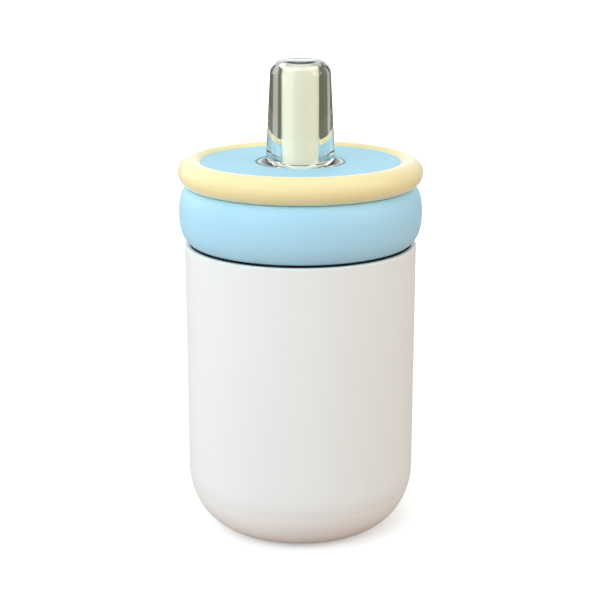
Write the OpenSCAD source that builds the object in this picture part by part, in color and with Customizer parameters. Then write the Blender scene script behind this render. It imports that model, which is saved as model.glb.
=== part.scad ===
// Child's insulated straw cup: a double-walled cup, a screw lid with a soft mouthpiece and a
// drinking straw, and a clear cap that pushes over the mouthpiece.
// Frame: +Z up, origin on the axis at the plane that the cup stands on. Millimetres.

/* [Cup] */
// Outside radius of the cup's straight wall
body_r = 37.5; // [36:0.5:40]
// Height of the shoulder that the lid comes down to
shoulder_z = 95.1; // [85:0.1:120]
// Height of the joint between the base cap and the wall
base_joint_z = 13.2; // [12:0.1:16]
// Height where the rounded bottom corner meets the straight wall
corner_h = 19.3; // [17:0.1:22]
// How far the rounded bottom corner comes in from the wall
corner_w = 14.4; // [12:0.1:16]
// Wall thickness of the two steel shells
steel_t = 0.6; // [0.4:0.1:0.8]
// Width of the vacuum gap between the shells at the wall
vacuum_gap = 3.1; // [2:0.1:4]

/* [Neck and thread] */
// Outside radius of the neck between its thread turns
neck_r = 32.4; // [32:0.1:33]
// Height of the neck above the shoulder
neck_h = 17.3; // [16:0.1:22]
// Rise of the thread in one turn
thread_lead = 5; // [4:0.5:6]
// Turns that the lid makes as it is unscrewed
thread_turns = 1.25; // [1:0.25:1.5]
// How far the thread stands out of the neck
thread_h = 0.8; // [0.5:0.1:0.9]

/* [Lid] */
// Largest radius of the lid's rounded collar
collar_r = 39.2; // [39:0.1:41]
// Height of the collar
collar_h = 18.15; // [16:0.05:19]
// Radius of the trim ring's round section
ring_section_r = 4.3; // [4:0.1:4.6]
// Radius of the circle that the trim ring's section follows
ring_centre_r = 35; // [34.5:0.1:36]
// Height of the deck above the shoulder
deck_rise = 26.4; // [26:0.1:28]

/* [Mouthpiece and straw] */
// Outside radius of the mouthpiece's column
mouth_r = 5.85; // [5:0.05:6]
// Height of the mouthpiece above the deck
mouth_h = 29.7; // [20:0.1:35]
// Radius of the channel through the mouthpiece
mouth_bore_r = 2.2; // [1.5:0.1:3]
// Outside radius of the straw
straw_r = 3.5; // [3:0.1:3.8]
// Wall thickness of the straw
straw_t = 0.9; // [0.6:0.1:1.2]

/* [Clear cap] */
// Outside radius of the clear cap just under its rounded top
cap_top_r = 9.65; // [9:0.05:11]
// How much wider the cap gets in each millimetre downwards
cap_taper = 0.05; // [0:0.01:0.06]
// Radius of the cap's rounded top edge
cap_round = 4.4; // [2:0.1:5]
// Radius of the hole that the mouthpiece stands in
cap_bore_r = 6.3; // [6.2:0.05:7]
// Radius of the flange at the cap's foot
cap_flange_r = 14.2; // [13:0.1:14.4]
// Clearance between the cap and the lid
cap_gap = 0.3; // [0.2:0.05:0.5]

/* [Hidden] */
$fn = 96;

// Cup
corner_r = body_r - corner_w;              // centre of the bottom corner's ellipse
corner_n = 18;                             // points along the bottom corner
foot_step = 0.3;                           // the foot pad stands this far out of the base cap
foot_r = 20.5;
foot_t = 1;
base_wall = 1.5;
glue_gap = 0.1;
edge_round = 0.5;                          // rounding of the shoulder's outer edge
crease = 0.12;                             // bevel on both sides of the base cap's joint
skirt_z = 3;                               // lower end of the outer shell, inside the base cap
liner_r = body_r - steel_t - vacuum_gap;   // outside of the liner
liner_floor_z = 6.5;
liner_round = 10;
neck_wall = 1;
neck_in_r = neck_r - neck_wall;            // outside of the liner's neck
rim_z = shoulder_z + neck_h;
lip_t = 0.6;

// Thread
thread_root_w = 2.4;
thread_crest_w = 1.2;
thread_bury = 0.4;                         // part of the ridge that is inside the wall
thread_step = 6;                           // degrees between two sections of a ridge
thread_clear = 0.3;                        // between the crests of the two threads
neck_crest_r = neck_r + thread_h;
core_crest_r = neck_crest_r + thread_clear;
core_in_r = core_crest_r + thread_h;
neck_thread_z = shoulder_z + 3.9;
core_thread_z = neck_thread_z + thread_lead / 2;

// Lid
gasket_t = 0.25;
collar_z = shoulder_z + 0.65;
collar_mid_z = collar_z + 9.25;
collar_top_z = collar_z + collar_h;
collar_n = 14;
collar_end_r = collar_r - 5.1;             // radius that the collar's curve runs towards below
collar_shut_r = collar_r - 4.1;            // and above
core_out_r = core_in_r + 1;
core_foot_z = collar_z + 1.55;
core_plate_z = rim_z + lip_t + 1.3;
core_plate_t = 1.5;
seal_t = 1.15;
deck_z = shoulder_z + deck_rise;           // top face of the deck
deck_t = 2;
ring_z = deck_z - 3.2;
ring_in_r = ring_centre_r - sqrt(pow(ring_section_r, 2) - pow(deck_z - ring_z, 2));
well_r = cap_flange_r + cap_gap;
well_floor_z = deck_z - 1.8;
boss_r = well_r + 2;
boss_z = well_floor_z - 1.8;

// Mouthpiece, straw and valve
stem_r = 4.8;
mouth_top_z = deck_z + mouth_h;
mouth_roof = 2;
slit_l = 5;
slit_w = 0.3;
clamp_r = 7.5;                             // flange that the retainer holds against the boss
clamp_t = 1.6;
socket_r = 5.1;
socket_z = 100.2;
socket_top_z = boss_z - clamp_t - 1.9;
straw_fit = 0.06;
straw_top_z = socket_top_z - 0.3;
straw_foot_z = 9.5;
retainer_r = 8;
retainer_lip = 1.2;
valve_r = 1.2;
valve_y = 12;                              // how far behind the axis the valve stands
valve_head_r = 1.6;
valve_flap_r = 2.2;

// Clear cap
cap_foot_z = well_floor_z + 2 * cap_gap;
cap_flange_z = deck_z - 0.1;
cap_roof_z = mouth_top_z + 0.6;
cap_roof_t = 1.9;
cap_top_z = cap_roof_z + cap_roof_t;
cap_fillet = 2;
cap_bore_round = 1.6;

// Points of an elliptical quarter: centre [cx, cz], half-axes a and b, from angle a0 to a1.
function arc(cx, cz, a, b, a0, a1, n) =
    [for (i = [0:n]) let (t = a0 + (a1 - a0) * i / n) [cx + a * cos(t), cz + b * sin(t)]];

// Points of a fuller curve than an ellipse, with exponent e, from its crown to its end.
function full_arc(cx, cz, a, b, e, t1, n) =
    [for (i = [0:n]) let (t = t1 * i / n) [cx + a * pow(cos(t), 2 / e), cz + b * pow(sin(t), 2 / e)]];

function reversed(p) = [for (i = [len(p) - 1:-1:0]) p[i]];

// The rounded bottom corner, inset by s, between two heights (upwards).
function corner(s, z0, z1) =
    let (a = corner_w - s, b = corner_h - s,
         t0 = -asin(min(1, (corner_h - z0) / b)), t1 = -asin(min(1, (corner_h - z1) / b)))
    arc(corner_r, corner_h, a, b, t0, t1, corner_n);

module turned(profile) {
    rotate_extrude($fn = 180) polygon(profile);
}

module ring(r_in, r_out, z0, z1) {
    translate([0, 0, z0]) difference() {
        cylinder(r = r_out, h = z1 - z0);
        translate([0, 0, -1]) cylinder(r = r_in, h = z1 - z0 + 2);
    }
}

// One thread ridge: a trapezoid swept along a right-hand helix, fading in and out at its ends.
// base_r lies inside the wall and crest_r is the ridge's working radius.
module thread_ridge(base_r, crest_r, z0) {
    steps = round(360 * thread_turns / thread_step);
    fade = 5;
    function reach(i) = min(1, (min(i, steps - i) + 0.4) / fade);
    function section(i) =
        let (a = i * thread_step, z = z0 + thread_lead * a / 360,
             r = base_r + (crest_r - base_r) * reach(i))
        [[base_r * cos(a), base_r * sin(a), z - thread_root_w / 2],
         [r * cos(a), r * sin(a), z - thread_crest_w / 2],
         [r * cos(a), r * sin(a), z + thread_crest_w / 2],
         [base_r * cos(a), base_r * sin(a), z + thread_root_w / 2]];
    points = [for (i = [0:steps]) each section(i)];
    outward = crest_r > base_r;
    sides = [for (i = [0:steps - 1], j = [0:3])
        let (p = 4 * i + j, q = 4 * i + (j + 1) % 4) [p, q, q + 4, p + 4]];
    faces = concat([[3, 2, 1, 0]], sides, [[for (j = [0:3]) 4 * steps + j]]);
    polyhedron(points, outward ? faces : [for (f = faces) reversed(f)], convexity = 6);
}

// Painted outer shell: straight wall, rounded lower corner, shoulder, and a skirt inside the base cap
module outer_shell() {
    color("white") turned(concat(
        corner(base_wall + glue_gap, skirt_z, base_joint_z),
        [[corner(crease, base_joint_z, corner_h)[0][0], base_joint_z]],
        corner(0, base_joint_z + crease, corner_h),
        arc(body_r - edge_round, shoulder_z - edge_round, edge_round, edge_round, 0, 90, 6),
        [[neck_in_r, shoulder_z], [neck_in_r, shoulder_z - steel_t],
         [body_r - steel_t, shoulder_z - steel_t], [body_r - steel_t, corner_h]],
        reversed(corner(base_wall + glue_gap + steel_t, skirt_z, corner_h - 3))));
}

// Steel liner that holds the drink, with its neck and the lip rolled over the threaded neck
module inner_liner() {
    bend = 3;
    inner_r = liner_r - steel_t;
    throat_r = neck_in_r - steel_t;
    color("silver") turned(concat(
        [[0, liner_floor_z]],
        arc(liner_r - liner_round, liner_floor_z + liner_round, liner_round, liner_round, -90, 0, 12),
        [[liner_r, shoulder_z - 2 * bend], [neck_in_r, shoulder_z - bend], [neck_in_r, rim_z],
         [neck_r, rim_z], [neck_r, rim_z + lip_t], [throat_r, rim_z + lip_t],
         [throat_r, shoulder_z - bend - steel_t], [inner_r, shoulder_z - 2 * bend - steel_t]],
        arc(liner_r - liner_round, liner_floor_z + liner_round, liner_round - steel_t,
            liner_round - steel_t, 0, -90, 12),
        [[0, liner_floor_z + steel_t]]));
}

// Steel disc that closes the outer shell, dished up in the middle
module shell_bottom() {
    r = corner(base_wall + glue_gap + steel_t, skirt_z, base_joint_z)[0][0];
    dish_r = 9;
    dish_h = 0.9;
    color("silver") turned([[0, skirt_z + dish_h], [dish_r - 2, skirt_z + dish_h],
        [dish_r, skirt_z], [r, skirt_z], [r, skirt_z + steel_t], [dish_r, skirt_z + steel_t],
        [dish_r - 2, skirt_z + dish_h + steel_t], [0, skirt_z + dish_h + steel_t]]);
}

// Small disc that keeps the vacuum, fixed to the shell's bottom
module getter() {
    color("dimgray") translate([0, 0, skirt_z + 0.9 + steel_t]) cylinder(r = 4.5, h = 1.2);
}

// Steel neck with the outside thread
module threaded_neck() {
    color("silver") union() {
        ring(neck_in_r, neck_r, shoulder_z, rim_z);
        thread_ridge(neck_r - thread_bury, neck_crest_r, neck_thread_z);
    }
}

// Dark silicone ring that lies on the shoulder and shows as a line under the lid
module neck_gasket() {
    color("black") ring(neck_r, body_r - 1.4, shoulder_z, shoulder_z + gasket_t);
}

// Cap over the cup's bottom, flush with the wall
module base_cap() {
    color("linen") difference() {
        turned(concat(
            [[0, foot_step]],
            corner(0, foot_step, base_joint_z - crease),
            [[corner(crease, base_joint_z, corner_h)[0][0], base_joint_z]],
            reversed(corner(base_wall, foot_step + base_wall + 0.4, base_joint_z)),
            [[0, foot_step + base_wall + 0.4]]));
        translate([0, 0, foot_step - 1]) cylinder(r = foot_r, h = foot_t - foot_step + 1);
    }
}

// Non-slip silicone disc that the cup stands on
module foot_pad() {
    color("whitesmoke") difference() {
        cylinder(r = foot_r, h = foot_t);
        translate([0, 0, -1]) cylinder(r = foot_r - 5, h = 1.4);
    }
}

// Blue outer collar of the lid, rolled in at both ends, with a ledge under the threaded core
module lid_collar() {
    color("lightskyblue") turned(concat(
        reversed(full_arc(collar_end_r, collar_mid_z, collar_r - collar_end_r,
            collar_z - 0.3 - collar_mid_z, 2.24, 78, collar_n)),
        full_arc(collar_shut_r, collar_mid_z, collar_r - collar_shut_r,
            collar_top_z + 0.1 - collar_mid_z, 2.48, 83, collar_n),
        [[core_out_r, collar_top_z], [core_out_r, core_foot_z], [core_in_r, core_foot_z],
         [core_in_r, collar_z]]));
}

// Threaded inside of the lid, with the plate that presses on the seal
module lid_core() {
    color("white") difference() {
        union() {
            ring(core_in_r, core_out_r, core_foot_z, core_plate_z);
            translate([0, 0, core_plate_z]) cylinder(r = core_out_r, h = core_plate_t);
            thread_ridge(core_in_r + thread_bury, core_crest_r, core_thread_z);
        }
        translate([0, 0, core_plate_z - 1]) cylinder(r = retainer_r, h = core_plate_t + 2);
        translate([0, valve_y, core_plate_z - 1]) cylinder(r = valve_r, h = core_plate_t + 2);
    }
}

// Foam ring between the core's plate and the deck
module lid_insulation() {
    color("khaki") ring(boss_r, ring_in_r - 0.5, core_plate_z + core_plate_t, deck_z - deck_t);
}

// Blue deck with the round well that the clear cap's flange sits in
module lid_deck() {
    color("lightskyblue") difference() {
        union() {
            translate([0, 0, deck_z - deck_t]) cylinder(r = ring_in_r, h = deck_t);
            translate([0, 0, boss_z]) cylinder(r = boss_r, h = deck_z - deck_t - boss_z + 0.5);
        }
        translate([0, 0, well_floor_z]) cylinder(r = well_r, h = deck_z);
        translate([0, 0, boss_z - 1]) cylinder(r = stem_r, h = deck_z);
        translate([0, valve_y, boss_z - 1]) cylinder(r = valve_r, h = deck_z);
    }
}

// Yellow trim ring of round section, cut away inside for the deck and the core's plate
module trim_ring() {
    color("moccasin") rotate_extrude($fn = 180) difference() {
        translate([ring_centre_r, ring_z]) circle(r = ring_section_r);
        square([ring_in_r, deck_z + 5]);
        square([core_out_r, core_plate_z + core_plate_t]);
    }
}

// Silicone washer between the lid's plate and the rim of the neck
module lid_seal() {
    color("gainsboro") ring(neck_in_r - 0.8, neck_r + 0.9, core_plate_z - 0.05 - seal_t, core_plate_z - 0.05);
}

// Soft mouthpiece: column with a slit top, clamped flange, and the socket that takes the straw
module mouthpiece() {
    tip_round = 1;
    color("ivory") difference() {
        turned(concat(
            [[0, socket_z], [socket_r, socket_z], [socket_r, boss_z - clamp_t],
             [clamp_r, boss_z - clamp_t], [clamp_r, boss_z], [stem_r, boss_z],
             [stem_r, well_floor_z], [mouth_r, well_floor_z]],
            arc(mouth_r - tip_round, mouth_top_z - tip_round, tip_round, tip_round, 0, 90, 6),
            [[0, mouth_top_z]]));
        translate([0, 0, socket_z - 1]) cylinder(r = straw_r + straw_fit, h = socket_top_z - socket_z + 1);
        cylinder(r = mouth_bore_r, h = mouth_top_z - mouth_roof);
        translate([0, 0, mouth_top_z - mouth_roof - 1]) for (a = [0, 90]) rotate(a)
            translate([-slit_l / 2, -slit_w / 2, 0]) cube([slit_l, slit_w, mouth_roof + 2]);
    }
}

// Ring that holds the mouthpiece's flange up against the deck
module mouthpiece_retainer() {
    color("white") difference() {
        union() {
            ring(socket_r, retainer_r, core_plate_z, boss_z - clamp_t);
            ring(socket_r, retainer_r + retainer_lip, core_plate_z - 1, core_plate_z);
        }
        for (a = [0:60:300]) rotate(a)
            translate([retainer_r + retainer_lip, 0, core_plate_z - 2]) cylinder(r = 0.8, h = 2);
    }
}

// Silicone air valve in the well, hidden by the cap's flange
module vent_valve() {
    color("whitesmoke") translate([0, valve_y, 0]) union() {
        translate([0, 0, core_plate_z - 1]) cylinder(r = valve_r, h = well_floor_z - core_plate_z + 1);
        translate([0, 0, well_floor_z]) cylinder(r = valve_head_r, h = 0.25);
        translate([0, 0, core_plate_z - 0.8]) cylinder(r = valve_flap_r, h = 0.8);
    }
}

// Drinking straw, cut aslant at its foot
module straw_tube() {
    slant = 40;
    color("whitesmoke") difference() {
        ring(straw_r - straw_t, straw_r, straw_foot_z, straw_top_z);
        translate([-straw_r, 0, straw_foot_z]) rotate([0, slant, 0])
            translate([-10, -10, -20]) cube([30, 20, 20]);
    }
}

// Thick clear cap with a flange at its foot
module clear_cap() {
    wall_foot_r = cap_top_r + cap_taper * (cap_top_z - cap_round - cap_flange_z);
    color("azure", 0.4) rotate_extrude($fn = 180) difference() {
        polygon(concat(
            [[0, cap_foot_z], [cap_flange_r, cap_foot_z]],
            arc(cap_flange_r - 0.5, cap_flange_z - 0.5, 0.5, 0.5, 0, 90, 4),
            arc(wall_foot_r + cap_fillet, cap_flange_z + cap_fillet, cap_fillet, cap_fillet, 270, 180, 8),
            arc(cap_top_r - cap_round, cap_top_z - cap_round, cap_round, cap_round, 0, 90, 12),
            [[0, cap_top_z]]));
        polygon(concat(
            [[0, cap_foot_z - 1], [cap_bore_r + 1.5, cap_foot_z - 1], [cap_bore_r + 0.5, cap_foot_z],
             [cap_bore_r, cap_foot_z + 0.8]],
            arc(cap_bore_r - cap_bore_round, cap_roof_z - cap_bore_round, cap_bore_round,
                cap_bore_round, 0, 90, 6),
            [[0, cap_roof_z]]));
    }
}

outer_shell();
inner_liner();
shell_bottom();
getter();
threaded_neck();
neck_gasket();
base_cap();
foot_pad();
lid_collar();
lid_core();
lid_insulation();
lid_deck();
trim_ring();
lid_seal();
mouthpiece();
mouthpiece_retainer();
vent_valve();
straw_tube();
clear_cap();
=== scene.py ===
"""Child's straw cup: the looks of every piece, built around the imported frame.

Metres, +Z up, front towards -Y.
"""
import math

import bmesh
import bpy
from mathutils import Matrix, Vector


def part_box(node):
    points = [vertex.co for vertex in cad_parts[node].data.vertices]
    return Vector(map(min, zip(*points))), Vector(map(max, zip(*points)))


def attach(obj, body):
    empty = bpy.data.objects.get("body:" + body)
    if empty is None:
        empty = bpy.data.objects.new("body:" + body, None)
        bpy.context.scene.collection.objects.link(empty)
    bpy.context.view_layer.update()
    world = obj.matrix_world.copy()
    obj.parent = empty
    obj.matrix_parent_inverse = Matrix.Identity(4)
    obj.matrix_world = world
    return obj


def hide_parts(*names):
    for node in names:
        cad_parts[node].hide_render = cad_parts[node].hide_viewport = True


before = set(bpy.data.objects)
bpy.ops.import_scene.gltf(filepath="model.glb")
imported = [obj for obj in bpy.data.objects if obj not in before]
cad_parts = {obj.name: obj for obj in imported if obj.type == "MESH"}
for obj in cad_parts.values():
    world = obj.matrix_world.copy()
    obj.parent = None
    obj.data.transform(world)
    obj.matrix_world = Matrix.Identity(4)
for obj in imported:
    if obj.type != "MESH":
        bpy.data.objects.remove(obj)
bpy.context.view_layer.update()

MM = 0.001
TAU = 2 * math.pi
HOLD = 0.12 * MM          # distance of a holding loop from the rounding that it keeps crisp
MERGE = 1e-6              # points closer than this are one point
SHARP_DEG = 32            # an edge that turns more than this is shaded as a crease


# ---------------------------------------------------------------- places, from the frame

def radius(node):
    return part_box(node)[1].x


def top(node):
    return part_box(node)[1].z


def bottom(node):
    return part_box(node)[0].z


BODY_R = radius("outer_shell")
SHOULDER_Z = top("outer_shell")
BASE_JOINT_Z = top("base_cap")
CORNER_H = 19.3 * MM      # height of the rounded bottom corner
CORNER_W = 14.4 * MM      # how far it comes in from the wall
STEEL_T = 0.6 * MM        # thickness of the drawn steel
BASE_WALL = 1.5 * MM      # thickness of the base cap
GLUE_GAP = 0.1 * MM       # between the shell's skirt and the base cap
CREASE = 0.05 * MM        # bevel on both sides of the joint between wall and base cap

NECK_IN_R = 31.4 * MM     # the neck, inside and outside
NECK_R = 32.4 * MM
RIM_Z = top("inner_liner")

COLLAR_Z = bottom("lid_collar")
COLLAR_TOP = top("lid_collar")
COLLAR_MID = COLLAR_Z + 9.36 * MM   # height of the collar's widest line
CORE_R = radius("lid_core")

DECK_Z = top("lid_deck")
DECK_R = radius("lid_deck")
WELL_R = radius("clear_cap") + 0.3 * MM
WELL_Z = DECK_Z - 1.8 * MM          # floor of the well that the clear cap stands in
BOSS_Z = bottom("lid_deck")
BOSS_R = WELL_R + 2 * MM
STEM_R = 4.8 * MM                   # the mouthpiece where it passes through the deck

MOUTH_TOP = top("mouthpiece")
MOUTH_R = 5.85 * MM                 # the mouthpiece above the deck
CAP_TOP = top("clear_cap")
CAP_FOOT = bottom("clear_cap")


# ---------------------------------------------------------------- outlines

def rounded(corners, closed=True, segments=6):
    """An outline through corners (r, z, rounding).

    Each rounded corner becomes an arc with a holding point at either side.
    """
    points = []
    count = len(corners)
    for i, (r, z, rounding) in enumerate(corners):
        here = Vector((r, z))
        if rounding == 0 or (not closed and i in (0, count - 1)):
            points.append(here)
            continue
        back = (Vector(corners[i - 1][:2]) - here).normalized()
        ahead = (Vector(corners[(i + 1) % count][:2]) - here).normalized()
        half = back.angle(ahead) / 2
        cut = rounding / math.tan(half)
        centre = here + (back + ahead).normalized() * (rounding / math.sin(half))
        start = here + back * cut - centre
        end = here + ahead * cut - centre
        turn = math.atan2(start.x * end.y - start.y * end.x, start.dot(end))
        points.append(here + back * (cut + HOLD))
        for k in range(segments + 1):
            points.append(centre + Matrix.Rotation(turn * k / segments, 2) @ start)
        points.append(here + ahead * (cut + HOLD))
    return points


def arc(centre_r, centre_z, a, b, start_deg, end_deg, segments):
    """Points of an elliptical arc with half-axes a and b."""
    points = []
    for k in range(segments + 1):
        t = math.radians(start_deg + (end_deg - start_deg) * k / segments)
        points.append(Vector((centre_r + a * math.cos(t), centre_z + b * math.sin(t))))
    return points


def full_arc(centre_r, centre_z, a, b, fullness, end_deg, segments):
    """Points of a curve fuller than an ellipse, from its crown towards its end."""
    points = []
    for k in range(segments + 1):
        t = math.radians(end_deg * k / segments)
        points.append(Vector((centre_r + a * math.cos(t) ** (2 / fullness),
                              centre_z + b * math.sin(t) ** (2 / fullness))))
    return points


def bottom_corner(inset, low_z, high_z, segments=28):
    """The cup's rounded lower corner, inset into the wall, from low_z up to high_z."""
    a = CORNER_W - inset
    b = CORNER_H - inset
    low = -math.degrees(math.asin(min(1, (CORNER_H - low_z) / b)))
    high = -math.degrees(math.asin(min(1, (CORNER_H - high_z) / b)))
    return arc(BODY_R - CORNER_W, CORNER_H, a, b, low, high, segments)


# ---------------------------------------------------------------- meshes

def finish_mesh(bm, name):
    """Cleans a mesh, points its faces outwards, marks its creases and links it as a piece."""
    bmesh.ops.remove_doubles(bm, verts=bm.verts, dist=MERGE)
    bmesh.ops.dissolve_degenerate(bm, edges=bm.edges, dist=MERGE / 10)
    bmesh.ops.recalc_face_normals(bm, faces=bm.faces)
    for face in bm.faces:
        face.smooth = True
    for edge in bm.edges:
        edge.smooth = edge.calc_face_angle(0) < math.radians(SHARP_DEG)
    mesh = bpy.data.meshes.new(name)
    bm.to_mesh(mesh)
    bm.free()
    piece = bpy.data.objects.new(name, mesh)
    bpy.context.scene.collection.objects.link(piece)
    return piece


def spun(outline, closed=True, steps=180):
    """A mesh spun from an outline of (r, z) points about the cup's axis."""
    bm = bmesh.new()
    verts = [bm.verts.new((r, 0, z)) for r, z in outline]
    pairs = list(zip(verts, verts[1:]))
    if closed:
        pairs.append((verts[-1], verts[0]))
    edges = [bm.edges.new(pair) for pair in pairs]
    bmesh.ops.spin(bm, geom=verts + edges, cent=(0, 0, 0), axis=(0, 0, 1), angle=TAU,
                   steps=steps, use_merge=True)
    return bm


def lathe(name, outline, closed=True, steps=180):
    """A finished piece spun from an outline."""
    return finish_mesh(spun(outline, closed, steps), name)


def place(piece, body, slot, material, *nodes):
    """Gives a piece its material, the body it rides on and the nodes it replaces. The slot argument
    is not used.
    """
    piece.data.materials.append(material)
    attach(piece, body)
    if nodes:
        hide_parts(*nodes)
    return piece


def cut_slits(piece, width, length, low_z, high_z):
    """Cuts a cross of two thin slits through a piece's top."""
    bm = bmesh.new()
    for turn in (0, math.pi / 2):
        slit = bmesh.ops.create_cube(bm, size=1)["verts"]
        bmesh.ops.scale(bm, vec=(length, width, high_z - low_z), verts=slit)
        bmesh.ops.rotate(bm, cent=(0, 0, 0), matrix=Matrix.Rotation(turn, 3, "Z"), verts=slit)
        bmesh.ops.translate(bm, vec=(0, 0, (high_z + low_z) / 2), verts=slit)
    cutter = finish_mesh(bm, "slit_cutter")
    cut = piece.modifiers.new("slits", "BOOLEAN")
    cut.object = cutter
    cut.operation = "DIFFERENCE"
    cut.solver = "EXACT"
    cut.use_self = True
    bpy.context.view_layer.update()
    slitted = piece.evaluated_get(bpy.context.evaluated_depsgraph_get())
    result = bpy.data.meshes.new_from_object(slitted)
    piece.modifiers.clear()
    piece.data = result
    bpy.data.objects.remove(cutter)


# ---------------------------------------------------------------- shared surface effects

def new_group(name, inputs, outputs):
    """A shader node group with named sockets.

    An input is (name, socket type, default or None), an output is (name, socket type).
    """
    group = bpy.data.node_groups.new(name, "ShaderNodeTree")
    for label, kind, default in inputs:
        socket = group.interface.new_socket(label, in_out="INPUT", socket_type=kind)
        if default is not None:
            socket.default_value = default
    for label, kind in outputs:
        group.interface.new_socket(label, in_out="OUTPUT", socket_type=kind)
    return group, group.nodes.new("NodeGroupInput"), group.nodes.new("NodeGroupOutput")


def add(tree, kind, **settings):
    """A new node with its settings."""
    node = tree.nodes.new(kind)
    for label, value in settings.items():
        setattr(node, label, value)
    return node


def fill_in(node, **values):
    """Sets a node's plain inputs. An underscore stands for a space in an input's name."""
    for label, value in values.items():
        node.inputs[label.replace("_", " ")].default_value = value
    return node


def math_node(tree, operation, a, b=None):
    """Result of an operation on one or two values or sockets."""
    node = add(tree, "ShaderNodeMath", operation=operation)
    for socket, value in zip(node.inputs, (a, b)):
        if value is None:
            continue
        if isinstance(value, (int, float)):
            socket.default_value = value
        else:
            tree.links.new(value, socket)
    return node.outputs[0]


def soft_step(tree, value, low, high):
    """0 below low, 1 above high, smooth between."""
    step = add(tree, "ShaderNodeMapRange", interpolation_type="SMOOTHSTEP")
    fill_in(step, From_Min=low, From_Max=high)
    tree.links.new(value, step.inputs["Value"])
    return step.outputs["Result"]


def surface_noise(group, scale, detail):
    """3-D noise that is fixed to the piece, with its scale from a socket."""
    coord = add(group, "ShaderNodeTexCoord")
    noise = fill_in(add(group, "ShaderNodeTexNoise", noise_dimensions="3D"), Detail=detail)
    group.links.new(coord.outputs["Object"], noise.inputs["Vector"])
    group.links.new(scale, noise.inputs["Scale"])
    return noise


def swing(group, noise, amount):
    """Noise centred on 0, times an amount."""
    centred = math_node(group, "SUBTRACT", noise.outputs["Fac"], 0.5)
    return math_node(group, "MULTIPLY", centred, amount)


def make_fine_grain():
    """Fine skin of a powder coat or a spark-eroded mould: a height that varies over the surface."""
    broad_share = 0.22        # scale of the broader waves, as a share of the fine grain's
    group, given, out = new_group("fine_grain",
                                  [("Scale", "NodeSocketFloat", 4000.0),
                                   ("Softness", "NodeSocketFloat", 0.5)],
                                  [("Height", "NodeSocketFloat")])
    fine = surface_noise(group, given.outputs["Scale"], detail=2.0)
    broad_scale = math_node(group, "MULTIPLY", given.outputs["Scale"], broad_share)
    broad = surface_noise(group, broad_scale, detail=1.0)
    mix = add(group, "ShaderNodeMix", data_type="FLOAT")
    group.links.new(given.outputs["Softness"], mix.inputs["Factor"])
    group.links.new(fine.outputs["Fac"], mix.inputs["A"])
    group.links.new(broad.outputs["Fac"], mix.inputs["B"])
    group.links.new(mix.outputs["Result"], out.inputs["Height"])
    return group


def make_tone_drift():
    """Very slight drift of a colour over the surface, as in coloured plastic and paint."""
    group, given, out = new_group("tone_drift",
                                  [("Color", "NodeSocketColor", None),
                                   ("Drift", "NodeSocketFloat", 0.04),
                                   ("Scale", "NodeSocketFloat", 30.0)],
                                  [("Color", "NodeSocketColor")])
    noise = surface_noise(group, given.outputs["Scale"], detail=3.0)
    shade = add(group, "ShaderNodeHueSaturation")
    value = math_node(group, "ADD", swing(group, noise, given.outputs["Drift"]), 1.0)
    group.links.new(value, shade.inputs["Value"])
    group.links.new(given.outputs["Color"], shade.inputs["Color"])
    group.links.new(shade.outputs["Color"], out.inputs["Color"])
    return group


def make_handled():
    """Roughness with faint soft patches where the piece is handled and wiped."""
    group, given, out = new_group("handled",
                                  [("Roughness", "NodeSocketFloat", 0.4),
                                   ("Patches", "NodeSocketFloat", 0.1),
                                   ("Scale", "NodeSocketFloat", 60.0)],
                                  [("Roughness", "NodeSocketFloat")])
    noise = fill_in(surface_noise(group, given.outputs["Scale"], detail=4.0), Roughness=0.62)
    patchy = math_node(group, "ADD", swing(group, noise, given.outputs["Patches"]),
                       given.outputs["Roughness"])
    group.links.new(patchy, out.inputs["Roughness"])
    return group


def make_turned_lines():
    """Fine lines left by turning and brushing round the axis.

    The noise is stretched along each line: it changes fast with radius and height and slowly
    with the angle. It serves as a height and as a mask for roughness.
    """
    along = 1.5               # how fast the noise changes along a line, per radian
    group, given, out = new_group("turned_lines",
                                  [("Lines", "NodeSocketFloat", 9000.0)],
                                  [("Height", "NodeSocketFloat"), ("Mask", "NodeSocketFloat")])
    coord = add(group, "ShaderNodeTexCoord")
    parts = add(group, "ShaderNodeSeparateXYZ")
    joined = add(group, "ShaderNodeCombineXYZ")
    links = group.links
    links.new(coord.outputs["Object"], parts.inputs[0])
    x, y, z = parts.outputs
    squares = math_node(group, "ADD", math_node(group, "MULTIPLY", x, x),
                        math_node(group, "MULTIPLY", y, y))
    reach = math_node(group, "SQRT", squares)
    angle = math_node(group, "ARCTAN2", y, x)
    links.new(math_node(group, "MULTIPLY", reach, given.outputs["Lines"]), joined.inputs[0])
    links.new(math_node(group, "MULTIPLY", z, given.outputs["Lines"]), joined.inputs[1])
    links.new(math_node(group, "MULTIPLY", angle, along), joined.inputs[2])
    noise = fill_in(add(group, "ShaderNodeTexNoise", noise_dimensions="3D"), Scale=1.0, Detail=3.0)
    links.new(joined.outputs[0], noise.inputs["Vector"])
    links.new(noise.outputs["Fac"], out.inputs["Height"])
    links.new(noise.outputs["Fac"], out.inputs["Mask"])
    return group


FINE_GRAIN = make_fine_grain()
TONE_DRIFT = make_tone_drift()
HANDLED = make_handled()
TURNED_LINES = make_turned_lines()


# ---------------------------------------------------------------- materials

def srgb(r, g, b):
    """Linear colour of an sRGB colour given from 0 to 255."""
    linear = []
    for level in (r, g, b):
        c = level / 255
        linear.append(c / 12.92 if c <= 0.04045 else ((c + 0.055) / 1.055) ** 2.4)
    return (*linear, 1.0)


def blank_material(name):
    """A material with its node tree and its Principled shader."""
    material = bpy.data.materials.new(name)
    material.use_nodes = True
    tree = material.node_tree
    return material, tree, tree.nodes["Principled BSDF"]


def use_group(tree, group, **values):
    return fill_in(add(tree, "ShaderNodeGroup", node_tree=group), **values)


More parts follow.
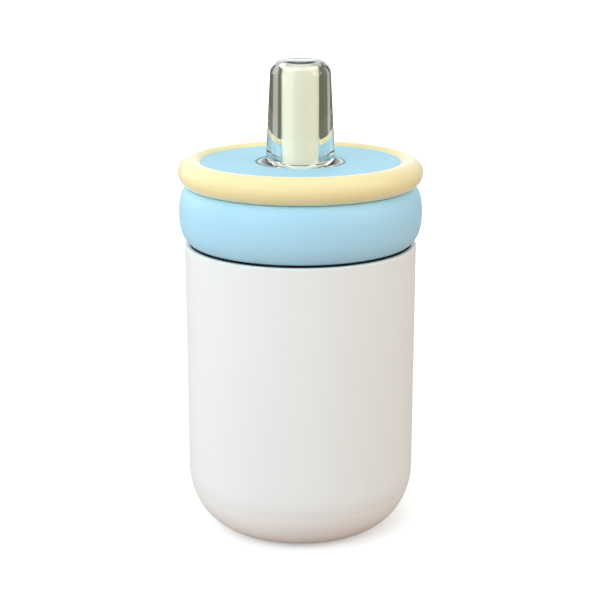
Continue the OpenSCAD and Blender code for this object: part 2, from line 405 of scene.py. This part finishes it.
def roughen(tree, shader, height, strength, distance):
    """Puts a height on a shader's normal."""
    bump = fill_in(tree.nodes.new("ShaderNodeBump"), Strength=strength, Distance=distance)
    tree.links.new(height, bump.inputs["Height"])
    tree.links.new(bump.outputs["Normal"], shader.inputs["Normal"])


def moulded(name, color, roughness, grain_scale, grain_height):
    """Satin moulded plastic, paint or silicone: drifting tone, fine grain, faint handling patches."""
    material, tree, shader = blank_material(name)
    tone = use_group(tree, TONE_DRIFT, Color=color, Drift=0.04, Scale=28.0)
    tree.links.new(tone.outputs["Color"], shader.inputs["Base Color"])
    rough = use_group(tree, HANDLED, Roughness=roughness, Patches=0.08, Scale=70.0)
    tree.links.new(rough.outputs["Roughness"], shader.inputs["Roughness"])
    grain = use_group(tree, FINE_GRAIN, Scale=grain_scale)
    roughen(tree, shader, grain.outputs["Height"], strength=0.35, distance=grain_height)
    return material, shader


def white_powder_coat():
    material, shader = moulded("white_powder_coat", srgb(240, 240, 238),
                               roughness=0.42, grain_scale=3200, grain_height=0.03 * MM)
    fill_in(shader, Specular_IOR_Level=0.45)
    return material


def base_plastic():
    return moulded("base_plastic", srgb(246, 244, 242),
                   roughness=0.5, grain_scale=3000, grain_height=0.03 * MM)[0]


def collar_blue():
    material, shader = moulded("collar_blue", srgb(176, 222, 243),
                               roughness=0.48, grain_scale=3600, grain_height=0.02 * MM)
    fill_in(shader, Subsurface_Weight=0.08, Subsurface_Scale=2 * MM)
    return material


def deck_blue():
    return moulded("deck_blue", srgb(166, 214, 231),
                   roughness=0.5, grain_scale=3600, grain_height=0.02 * MM)[0]


def trim_yellow():
    material, shader = moulded("trim_yellow", srgb(248, 229, 172),
                               roughness=0.46, grain_scale=3600, grain_height=0.02 * MM)
    fill_in(shader, Subsurface_Weight=0.1, Subsurface_Scale=2 * MM)
    fill_in(shader, Sheen_Weight=1.0, Sheen_Roughness=0.3)
    return material


def mouthpiece_silicone():
    material, shader = moulded("mouthpiece_silicone", srgb(240, 231, 207),
                               roughness=0.42, grain_scale=2600, grain_height=0.01 * MM)
    fill_in(shader, Subsurface_Weight=0.4, Subsurface_Scale=3 * MM)
    fill_in(shader, Subsurface_Radius=(1.0, 0.95, 0.6))
    return material


def soft_silicone(name, color, scatter):
    material, shader = moulded(name, color,
                               roughness=0.5, grain_scale=2600, grain_height=0.012 * MM)
    fill_in(shader, Subsurface_Weight=scatter, Subsurface_Scale=2 * MM)
    return material


def core_plastic():
    material, shader = moulded("core_plastic", srgb(238, 240, 238),
                               roughness=0.3, grain_scale=2200, grain_height=0.01 * MM)
    fill_in(shader, Subsurface_Weight=0.1, Subsurface_Scale=1.5 * MM)
    return material


def straw_plastic():
    material, shader = moulded("straw_plastic", srgb(236, 240, 238),
                               roughness=0.22, grain_scale=1500, grain_height=0.008 * MM)
    fill_in(shader, Transmission_Weight=0.35, IOR=1.49)
    return material


def foam():
    """White insulating foam: matt, with small round cells."""
    material, tree, shader = blank_material("insulating_foam")
    coord = add(tree, "ShaderNodeTexCoord")
    cells = add(tree, "ShaderNodeTexVoronoi", feature="DISTANCE_TO_EDGE")
    fill_in(cells, Scale=700)
    shade = fill_in(tree.nodes.new("ShaderNodeMapRange"), From_Max=0.12, To_Min=0.82)
    bead = add(tree, "ShaderNodeMix", data_type="RGBA", blend_type="MULTIPLY")
    fill_in(bead, Factor=1.0, A=srgb(246, 246, 242))
    links = tree.links
    links.new(coord.outputs["Object"], cells.inputs["Vector"])
    links.new(cells.outputs["Distance"], shade.inputs["Value"])
    links.new(shade.outputs["Result"], bead.inputs["B"])
    links.new(bead.outputs["Result"], shader.inputs["Base Color"])
    roughen(tree, shader, shade.outputs["Result"], strength=0.6, distance=0.15 * MM)
    fill_in(shader, Roughness=0.85)
    return material


def brushed_steel():
    material, tree, shader = blank_material("brushed_steel")
    tone = use_group(tree, TONE_DRIFT, Color=srgb(206, 206, 208), Drift=0.08, Scale=40.0)
    tree.links.new(tone.outputs["Color"], shader.inputs["Base Color"])
    fill_in(shader, Metallic=1.0)
    lines = use_group(tree, TURNED_LINES, Lines=7000.0)
    spread = fill_in(tree.nodes.new("ShaderNodeMapRange"), To_Min=0.22, To_Max=0.42)
    tree.links.new(lines.outputs["Mask"], spread.inputs["Value"])
    tree.links.new(spread.outputs["Result"], shader.inputs["Roughness"])
    roughen(tree, shader, lines.outputs["Height"], strength=0.25, distance=0.02 * MM)
    return material


def clear_plastic():
    """Thick clear plastic. Light that only casts a shadow passes straight through it."""
    material, tree, shader = blank_material("clear_plastic")
    fill_in(shader, Base_Color=(0.96, 0.97, 0.955, 1), Roughness=0.015)
    fill_in(shader, Metallic=0.0, IOR=1.5, Transmission_Weight=1.0)
    light = tree.nodes.new("ShaderNodeLightPath")
    see_through = fill_in(tree.nodes.new("ShaderNodeBsdfTransparent"), Color=(0.97, 0.98, 0.97, 1))
    mix = tree.nodes.new("ShaderNodeMixShader")
    output = tree.nodes["Material Output"]
    tree.links.new(light.outputs["Is Shadow Ray"], mix.inputs["Fac"])
    tree.links.new(shader.outputs["BSDF"], mix.inputs[1])
    tree.links.new(see_through.outputs["BSDF"], mix.inputs[2])
    tree.links.new(mix.outputs["Shader"], output.inputs["Surface"])
    return material


POWDER_COAT = white_powder_coat()
BASE_PLASTIC = base_plastic()
COLLAR_BLUE = collar_blue()
DECK_BLUE = deck_blue()
TRIM_YELLOW = trim_yellow()
MOUTH_SILICONE = mouthpiece_silicone()
# near-black silicone: partly the gasket's own colour, partly painted shade for the shadow of the gap
# under the collar
GASKET_GAP_SHADE = soft_silicone("gasket_gap_shade", srgb(24, 24, 26), 0.0)
SEAL_SILICONE = soft_silicone("seal_silicone", srgb(228, 232, 228), 0.3)
FOAM = foam()
FOOT_SILICONE = soft_silicone("foot_silicone", srgb(226, 222, 214), 0.1)
CORE_PLASTIC = core_plastic()
STRAW_PLASTIC = straw_plastic()
STEEL = brushed_steel()
CLEAR_PLASTIC = clear_plastic()


# ---------------------------------------------------------------- the cup

def make_shell():
    """Painted outer shell, with its straight wall, soft lower corner and rolled shoulder.

    Below the joint it goes on as a skirt inside the base cap.
    """
    inset = BASE_WALL + GLUE_GAP
    skirt_z = bottom("outer_shell")
    joint_r = bottom_corner(CREASE, BASE_JOINT_Z, CORNER_H)[0].x
    outline = bottom_corner(inset, skirt_z, BASE_JOINT_Z)
    outline += [Vector((joint_r, BASE_JOINT_Z))]
    outline += bottom_corner(0, BASE_JOINT_Z + CREASE, CORNER_H)
    outline += [Vector((BODY_R, CORNER_H + 0.5 * MM))]    # keeps the start of the straight wall crisp
    outline += rounded([(BODY_R, SHOULDER_Z - 9 * MM, 0), (BODY_R, SHOULDER_Z, 0.5 * MM),
                        (NECK_IN_R, SHOULDER_Z, 0)], closed=False)
    outline += rounded([(NECK_IN_R, SHOULDER_Z - STEEL_T, 0),
                        (BODY_R - STEEL_T, SHOULDER_Z - STEEL_T, 0.1 * MM),
                        (BODY_R - STEEL_T, CORNER_H, 0)], closed=False)
    outline += list(reversed(bottom_corner(inset + STEEL_T, skirt_z, CORNER_H - 3 * MM)))
    return place(lathe("cup_shell", outline), "cup", "shell_paint", POWDER_COAT, "outer_shell")


def make_base_cap():
    """Hollow base cap, with the shallow recess of the foot pad."""
    low = bottom("base_cap")
    foot_r = radius("foot_pad")
    foot_top = top("foot_pad")
    floor_z = low + BASE_WALL + 0.4 * MM
    joint_r = bottom_corner(CREASE, BASE_JOINT_Z, CORNER_H)[0].x
    outline = [Vector((0, foot_top))]
    outline += rounded([(foot_r - 4 * MM, foot_top, 0), (foot_r, foot_top, 0),
                        (foot_r, low, 0.2 * MM), (foot_r + 1.4 * MM, low, 0)], closed=False)
    outline += bottom_corner(0, low, BASE_JOINT_Z - CREASE)
    outline += [Vector((joint_r, BASE_JOINT_Z))]
    outline += list(reversed(bottom_corner(BASE_WALL, floor_z, BASE_JOINT_Z)))
    outline += [Vector((0, floor_z))]
    return place(lathe("cup_base_cap", outline, closed=False),
                 "cup", "base_plastic", BASE_PLASTIC, "base_cap")


def make_foot_pad():
    """Non-slip disc with two shallow moulded grooves round its underside."""
    r = radius("foot_pad")
    high = top("foot_pad")
    dish_r = r - 5 * MM
    dish_z = 0.4 * MM
    mouth = 0.35 * MM         # half-width of a groove at its mouth
    floor = 0.2 * MM          # half-width of its floor
    depth = 0.3 * MM
    soft = 0.1 * MM           # rounding of its edges
    corners = [(0, dish_z, 0), (dish_r, dish_z, 0), (dish_r, 0, 0.15 * MM)]
    for centre in (r - 3.4 * MM, r - 1.8 * MM):
        corners += [(centre - mouth, 0, soft), (centre - floor, depth, soft),
                    (centre + floor, depth, soft), (centre + mouth, 0, soft)]
    corners += [(r, 0, 0.25 * MM), (r, high, 0), (0, high, 0)]
    outline = rounded(corners, closed=False, segments=3)
    return place(lathe("foot_disc", outline, closed=False, steps=128),
                 "cup", "foot_silicone", FOOT_SILICONE, "foot_pad")


def make_gasket():
    """Thin ring that lies on the shoulder, under the collar. Its black is partly the gasket's own
    colour and partly painted shade, standing for the dark shadow of the gap under the collar.
    """
    r = radius("neck_gasket")
    low = bottom("neck_gasket")
    high = top("neck_gasket")
    outline = rounded([(NECK_R, low, 0), (r, low, 0.04 * MM), (r, high, 0.1 * MM),
                       (NECK_R, high, 0)])
    return place(lathe("shoulder_gasket", outline),
                 "cup", "gasket_black", GASKET_GAP_SHADE, "neck_gasket")


def make_liner():
    """Drawn steel liner with a rolled lip over the neck."""
    outer = radius("inner_liner")
    inner = outer - STEEL_T
    throat = NECK_IN_R - STEEL_T
    floor_z = bottom("inner_liner")
    bend = 3 * MM             # height of each half of the bend under the neck
    outline = rounded([(0, floor_z, 0), (outer, floor_z, 10 * MM),
                       (outer, SHOULDER_Z - 2 * bend, 2 * MM),
                       (NECK_IN_R, SHOULDER_Z - bend, 1.5 * MM), (NECK_IN_R, RIM_Z - STEEL_T, 0),
                       (NECK_R, RIM_Z - STEEL_T, 0.05 * MM), (NECK_R, RIM_Z, 0.45 * MM),
                       (throat, RIM_Z, 0.45 * MM),
                       (throat, SHOULDER_Z - bend - STEEL_T, 1.5 * MM),
                       (inner, SHOULDER_Z - 2 * bend - STEEL_T, 2 * MM),
                       (inner, floor_z + STEEL_T, 9.4 * MM), (0, floor_z + STEEL_T, 0)],
                      closed=False, segments=10)
    return place(lathe("steel_liner", outline, closed=False), "cup", "steel", STEEL, "inner_liner")


# ---------------------------------------------------------------- the lid

def make_collar():
    """Bulging collar, rolled in above and below.

    Each curve stops short of its end, where the collar's nearly flat foot or top begins.
    """
    crown = radius("lid_collar")
    low_r = crown - 5.1 * MM                        # where the lower curve would end,
    low_reach = COLLAR_Z - 0.18 * MM - COLLAR_MID   # and how far below the widest line
    high_r = crown - 4.1 * MM                       # the same for the upper one
    high_reach = COLLAR_TOP + 0.07 * MM - COLLAR_MID
    lower = full_arc(low_r, COLLAR_MID, crown - low_r, low_reach,
                     fullness=2.24, end_deg=78, segments=26)
    upper = full_arc(high_r, COLLAR_MID, crown - high_r, high_reach,
                     fullness=2.48, end_deg=83, segments=26)
    ledge_z = bottom("lid_core")
    ledge_r = CORE_R - 1 * MM
    outline = list(reversed(lower)) + upper[1:]
    outline += [Vector((CORE_R, COLLAR_TOP - 0.04 * MM)), Vector((CORE_R, ledge_z)),
                Vector((ledge_r, ledge_z)), Vector((ledge_r, COLLAR_Z + 0.12 * MM))]
    return place(lathe("collar", outline, steps=220),
                 "lid", "collar_blue", COLLAR_BLUE, "lid_collar")


def make_trim_ring():
    """Round-section ring round the deck."""
    section = (top("trim_ring") - bottom("trim_ring")) / 2
    centre_r = radius("trim_ring") - section
    centre_z = bottom("trim_ring") + section
    ledge_z = top("lid_core")
    foot = -math.degrees(math.acos((CORE_R - centre_r) / section))
    rim = 180 - math.degrees(math.asin((DECK_Z - centre_z) / section))
    outline = arc(centre_r, centre_z, section, section, foot, rim, segments=48)
    outline += [Vector((DECK_R, ledge_z)), Vector((CORE_R, ledge_z))]
    return place(lathe("trim", outline, steps=220), "lid", "trim_yellow", TRIM_YELLOW, "trim_ring")


def make_deck():
    """Deck with the round well of the clear cap, and the boss that holds the mouthpiece."""
    under = DECK_Z - 2 * MM
    outline = rounded([(STEM_R, BOSS_Z, 0), (BOSS_R, BOSS_Z, 0.4 * MM), (BOSS_R, under, 0.4 * MM),
                       (DECK_R, under, 0), (DECK_R, DECK_Z, 0.15 * MM), (WELL_R, DECK_Z, 0.25 * MM),
                       (WELL_R, WELL_Z, 0.4 * MM), (STEM_R, WELL_Z, 0)])
    return place(lathe("deck", outline, steps=200), "lid", "deck_blue", DECK_BLUE, "lid_deck")


def make_mouthpiece():
    """Soft column with a rounded slit tip, a clamped flange, and the socket of the straw."""
    clamp_r = radius("mouthpiece")
    clamp_z = BOSS_Z - 1.6 * MM
    socket_z = bottom("mouthpiece")
    socket_r = 5.1 * MM       # outside of the straw's socket
    hole_r = 3.56 * MM        # inside of it
    hole_top = BOSS_Z - 3.5 * MM
    bore_r = 2.2 * MM         # channel for the drink
    roof_z = MOUTH_TOP - 2 * MM
    outline = rounded([(hole_r, socket_z, 0.3 * MM), (socket_r, socket_z, 0.4 * MM),
                       (socket_r, clamp_z, 0.2 * MM), (clamp_r, clamp_z, 0.3 * MM),
                       (clamp_r, BOSS_Z, 0.3 * MM), (STEM_R, BOSS_Z, 0.2 * MM),
                       (STEM_R, WELL_Z, 0), (MOUTH_R, WELL_Z, 0),
                       (MOUTH_R, MOUTH_TOP, 1.0 * MM), (0, MOUTH_TOP, 0)], closed=False)
    outline += rounded([(0, roof_z, 0), (bore_r, roof_z, 0.5 * MM), (bore_r, hole_top, 0.2 * MM),
                        (hole_r, hole_top, 0.2 * MM), (hole_r, socket_z + 1 * MM, 0)], closed=False)
    piece = lathe("mouthpiece_column", outline, steps=128)
    cut_slits(piece, width=0.25 * MM, length=5 * MM,
              low_z=roof_z - 0.5 * MM, high_z=MOUTH_TOP + 1 * MM)
    return place(piece, "lid", "mouthpiece_silicone", MOUTH_SILICONE, "mouthpiece")


def make_straw():
    """Straw tube; its foot is cut aslant."""
    r = radius("straw_tube")
    wall = 0.9 * MM
    low = bottom("straw_tube")
    high = top("straw_tube")
    slant = math.radians(40)
    outline = rounded([(r - wall, low, 0), (r, low, 0), (r, high, 0.3 * MM),
                       (r - wall, high, 0.3 * MM)], segments=4)
    bm = spun(outline, steps=64)
    bmesh.ops.remove_doubles(bm, verts=bm.verts, dist=MERGE)
    cut = bmesh.ops.bisect_plane(bm, geom=bm.verts[:] + bm.edges[:] + bm.faces[:],
                                 plane_co=(-r, 0, low), clear_inner=True,
                                 plane_no=(math.sin(slant), 0, math.cos(slant)))
    loops = [edge for edge in cut["geom_cut"] if isinstance(edge, bmesh.types.BMEdge)]
    bmesh.ops.bridge_loops(bm, edges=loops)
    return place(finish_mesh(bm, "drinking_straw"),
                 "straw", "straw_plastic", STRAW_PLASTIC, "straw_tube")


# ---------------------------------------------------------------- the clear cap

def make_clear_cap():
    """Thick-walled clear cap with a flange at its foot."""
    flange_r = radius("clear_cap")
    flange_z = DECK_Z - 0.1 * MM
    top_r = 9.65 * MM         # the wall where its rounded top edge begins
    corner = 4.4 * MM         # radius of that edge
    taper = 0.05              # how much the wall widens for each unit of depth
    wall_foot_r = top_r + taper * (CAP_TOP - corner - flange_z)
    bore_r = 6.3 * MM
    mouth_r = bore_r + 0.5 * MM
    roof_z = MOUTH_TOP + 0.6 * MM
    fillet = 2 * MM           # from the wall to the flange
    outline = rounded([(mouth_r, CAP_FOOT, 0), (flange_r, CAP_FOOT, 0.3 * MM),
                       (flange_r, flange_z, 0.5 * MM),
                       (wall_foot_r + fillet + 0.3 * MM, flange_z, 0)], closed=False)
    outline += arc(wall_foot_r + fillet, flange_z + fillet, fillet, fillet,
                   start_deg=270, end_deg=180, segments=14)
    outline += arc(top_r - corner, CAP_TOP - corner, corner, corner,
                   start_deg=0, end_deg=90, segments=26)
    outline += [Vector((0, CAP_TOP)), Vector((0, roof_z))]
    outline += rounded([(0, roof_z, 0), (bore_r, roof_z, 1.6 * MM),
                        (bore_r, CAP_FOOT + 0.8 * MM, 0.3 * MM), (mouth_r, CAP_FOOT, 0)],
                       closed=False, segments=12)[1:-1]
    return place(lathe("clear_cover", outline, steps=240),
                 "cap", "clear_plastic", CLEAR_PLASTIC, "clear_cap")


# ---------------------------------------------------------------- CAD pieces that keep their shape

def dress_inner_pieces():
    """Gives the CAD nodes inside the cup and the lid their finished materials."""
    finishes = {"shell_bottom": STEEL, "threaded_neck": STEEL, "getter": STEEL,
                "lid_core": CORE_PLASTIC, "mouthpiece_retainer": CORE_PLASTIC,
                "lid_insulation": FOAM, "lid_seal": SEAL_SILICONE, "vent_valve": SEAL_SILICONE}
    for node, material in finishes.items():
        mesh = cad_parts[node].data
        mesh.materials.clear()
        mesh.materials.append(material)


# ---------------------------------------------------------------- stage, light and camera

WHITE = (1, 1, 1, 1)
AMBIENT = 0.52                          # strength of the even light from all round
AMBIENT_TINT = (0.88, 0.955, 1.0)
ROOM_DIM = (0.145, 0.148, 0.1, 1)       # the room that clear plastic shows: its walls,
ROOM_LIT = (0.5, 0.5, 0.45, 1)          # the lighter stretch of wall,
ROOM_CEILING = (0.62, 0.63, 0.54, 1)    # and the ceiling
LIT_FROM_DEG = (-52, -44)               # bearings over which the lighter stretch begins
LIT_TO_DEG = (-8, 0)                    # and, with their sign turned, those over which it ends
CEILING_RISE = (0.0, 0.12)              # upward slopes over which the walls turn to ceiling
FLOOR_HALF = 3.0                        # half the floor's side
FLOOR_FADE = (0.3, 1.2)                 # distances over which the floor fades to white
FLOOR_LIFT = 0.3                        # how much of that white it has right at the cup
FLOOR_SEEN = (0.92, 0.92, 0.92, 1)      # the floor's colour as seen,
FLOOR_BOUNCE = (0.5, 0.36, 0.29, 1)     # and as it tints the light that it throws back
LIGHT_TARGET = (0, 0, 0.08)             # point that every lamp is turned to
KEY_TINT = (0.83, 0.94, 1.0)
SKY_TINT = (0.9, 0.97, 1.0)
FILL_TINT = (1.0, 0.98, 0.9)


def seen_directly(tree):
    """1 where the camera sees a surface itself, 0 where the surface only lights or is mirrored."""
    return add(tree, "ShaderNodeLightPath").outputs["Is Camera Ray"]


def make_floor():
    """Pale floor. It shows white, with a soft shadow, and throws a warm tint back at the cup."""
    bm = bmesh.new()
    bmesh.ops.create_grid(bm, x_segments=1, y_segments=1, size=FLOOR_HALF)
    mesh = bpy.data.meshes.new("floor")
    bm.to_mesh(mesh)
    bm.free()
    floor = bpy.data.objects.new("floor", mesh)
    bpy.context.scene.collection.objects.link(floor)
    material, tree, shader = blank_material("pale_floor")
    tint = fill_in(add(tree, "ShaderNodeMix", data_type="RGBA"), A=FLOOR_BOUNCE, B=FLOOR_SEEN)
    tree.links.new(seen_directly(tree), tint.inputs["Factor"])
    tree.links.new(tint.outputs["Result"], shader.inputs["Base Color"])
    fill_in(shader, Roughness=0.9, Specular_IOR_Level=0.2, Emission_Color=WHITE)
    coord = add(tree, "ShaderNodeTexCoord")
    reach = add(tree, "ShaderNodeVectorMath", operation="LENGTH")
    tree.links.new(coord.outputs["Object"], reach.inputs[0])
    fade = soft_step(tree, reach.outputs["Value"], *FLOOR_FADE)
    lift = math_node(tree, "ADD", math_node(tree, "MULTIPLY", fade, 1 - FLOOR_LIFT), FLOOR_LIFT)
    glow = math_node(tree, "MULTIPLY", seen_directly(tree), lift)
    tree.links.new(glow, shader.inputs["Emission Strength"])
    floor.data.materials.append(material)
    floor.visible_transmission = False


def soft_box(name, place_at, size, power, color):
    """Area lamp turned to the cup, with its size in metres and its power in watts.

    The camera doesn't see it.
    """
    data = bpy.data.lights.new(name, "AREA")
    data.shape = "RECTANGLE"
    data.size, data.size_y = size
    data.energy = power
    data.color = color
    lamp = bpy.data.objects.new(name, data)
    lamp.location = place_at
    aim = Vector(LIGHT_TARGET) - Vector(place_at)
    lamp.rotation_euler = aim.to_track_quat("-Z", "Y").to_euler()
    lamp.visible_camera = False
    bpy.context.scene.collection.objects.link(lamp)
    return lamp


def make_world():
    """White to the camera, and an even soft light to the cup.

    What is seen through clear plastic is a darker room, unless the ray has met a matt surface.
    """
    world = bpy.data.worlds.new("studio")
    bpy.context.scene.world = world
    world.use_nodes = True
    tree = world.node_tree
    even = fill_in(tree.nodes["Background"], Color=(*AMBIENT_TINT, 1), Strength=AMBIENT)
    white = fill_in(tree.nodes.new("ShaderNodeBackground"), Color=WHITE)
    room = tree.nodes.new("ShaderNodeBackground")
    tree.links.new(room_tone(tree), room.inputs["Color"])
    path = add(tree, "ShaderNodeLightPath")
    only_clear = math_node(tree, "LESS_THAN", path.outputs["Diffuse Depth"], 0.5)
    shows_room = math_node(tree, "MULTIPLY", path.outputs["Is Transmission Ray"], only_clear)
    through = tree.nodes.new("ShaderNodeMixShader")
    tree.links.new(shows_room, through.inputs["Fac"])
    tree.links.new(even.outputs[0], through.inputs[1])
    tree.links.new(room.outputs[0], through.inputs[2])
    seen = tree.nodes.new("ShaderNodeMixShader")
    tree.links.new(path.outputs["Is Camera Ray"], seen.inputs["Fac"])
    tree.links.new(through.outputs[0], seen.inputs[1])
    tree.links.new(white.outputs[0], seen.inputs[2])
    tree.links.new(seen.outputs[0], tree.nodes["World Output"].inputs["Surface"])


def room_tone(tree):
    """Dim walls with one lighter stretch, and a bright ceiling."""
    coord = add(tree, "ShaderNodeTexCoord")
    parts = add(tree, "ShaderNodeSeparateXYZ")
    tree.links.new(coord.outputs["Generated"], parts.inputs[0])
    x, y, z = parts.outputs
    bearing = math_node(tree, "ARCTAN2", x, y)
    turned = math_node(tree, "MULTIPLY", bearing, -1.0)
    begins = soft_step(tree, bearing, *map(math.radians, LIT_FROM_DEG))
    ends = soft_step(tree, turned, *map(math.radians, LIT_TO_DEG))
    wall = fill_in(add(tree, "ShaderNodeMix", data_type="RGBA"), A=ROOM_DIM, B=ROOM_LIT)
    tree.links.new(math_node(tree, "MULTIPLY", begins, ends), wall.inputs["Factor"])
    room = fill_in(add(tree, "ShaderNodeMix", data_type="RGBA"), B=ROOM_CEILING)
    tree.links.new(wall.outputs["Result"], room.inputs["A"])
    tree.links.new(soft_step(tree, z, *CEILING_RISE), room.inputs["Factor"])
    return room.outputs["Result"]


def make_light():
    """Soft daylight from the left front, with weaker lamps round about.

    The key light is in two parts: key lights matt surfaces only, and key_sheen, which stands a
    little behind it, is also the one that is mirrored.
    """
    make_world()
    key = soft_box("key", (-0.65, -0.6, 0.46), (0.97, 0.9), 3.3, KEY_TINT)
    key.visible_glossy = False
    soft_box("key_sheen", (-0.67, -0.62, 0.472), (1.0, 0.93), 4.1, KEY_TINT)
    soft_box("fill", (0.75, -0.3, 0.45), (0.6, 0.6), 3.0, FILL_TINT)
    soft_box("overhead", (0.0, 0.1, 0.9), (0.7, 0.7), 1.4, SKY_TINT)
    soft_box("back_left", (-0.7, 0.45, 0.4), (0.5, 0.6), 1.8, SKY_TINT)
    back = soft_box("back", (0.0, 1.0, 0.48), (1.3, 0.5), 1.7, WHITE[:3])
    back.visible_transmission = False


def make_camera():
    """Camera at the viewing angle: in front, a little above the lid and tipped down."""
    sensor = 36.0             # width in millimetres
    focal_share = 2.4         # focal length as a share of that width
    distance = 457 * MM
    height = 200.7 * MM
    side = -0.15 * MM         # how far it stands off the cup's axis
    tip = math.radians(15.35)
    data = bpy.data.cameras.new("camera")
    data.sensor_width = sensor
    data.lens = sensor * focal_share
    camera = bpy.data.objects.new("camera", data)
    camera.location = (side, -distance, height)
    camera.rotation_euler = (math.pi / 2 - tip, 0, 0)
    bpy.context.scene.collection.objects.link(camera)
    bpy.context.scene.camera = camera


make_camera()
make_light()
make_floor()
make_shell()
make_base_cap()
make_foot_pad()
make_gasket()
make_liner()
make_collar()
make_trim_ring()
make_deck()
make_mouthpiece()
make_straw()
make_clear_cap()
dress_inner_pieces()
bpy.context.scene.view_settings.view_transform = "Standard"
